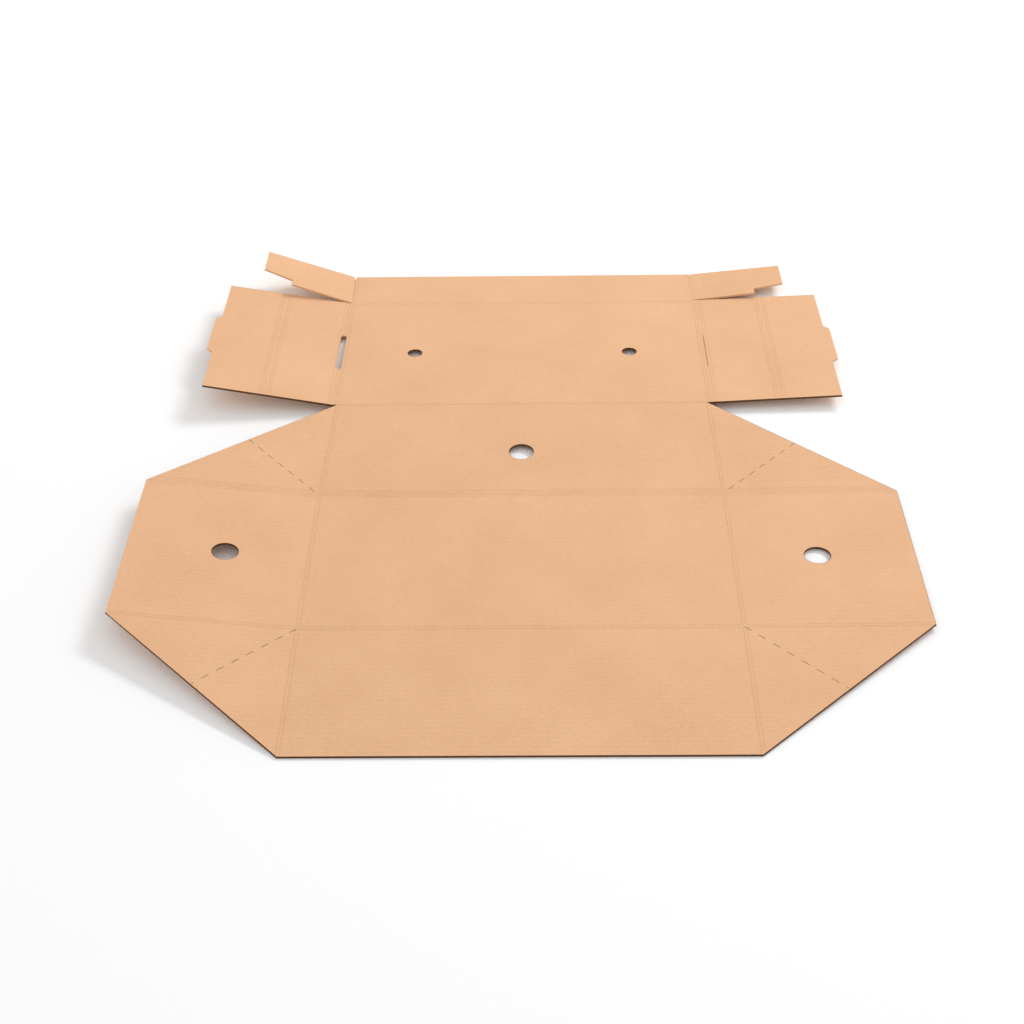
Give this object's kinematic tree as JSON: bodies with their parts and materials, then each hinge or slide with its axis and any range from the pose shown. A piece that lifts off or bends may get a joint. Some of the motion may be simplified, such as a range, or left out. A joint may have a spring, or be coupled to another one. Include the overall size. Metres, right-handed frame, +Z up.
{
  "type": "flattened cardboard box",
  "caption": "Die-cut corrugated box blank lying open and flat, with hinged lid, roll-over lock flaps, ears, webbed corners and vent holes, ready to fold into a shallow carton",
  "frame": {"origin": "middle of the outer box in X and Y, on the floor the sheet lies on", "axes": "+X across the sheet from the left end wall to the right one, +Y from the front wall's free edge to the lid's lip, +Z up"},
  "size_m": [0.4624, 0.5034, 0.0242],
  "materials": {
    "kraft_board": "matte uncoated kraft liner"
  },
  "bodies": {
    "root": {"box_blank": "kraft_board"}
  },
  "joints": []
}
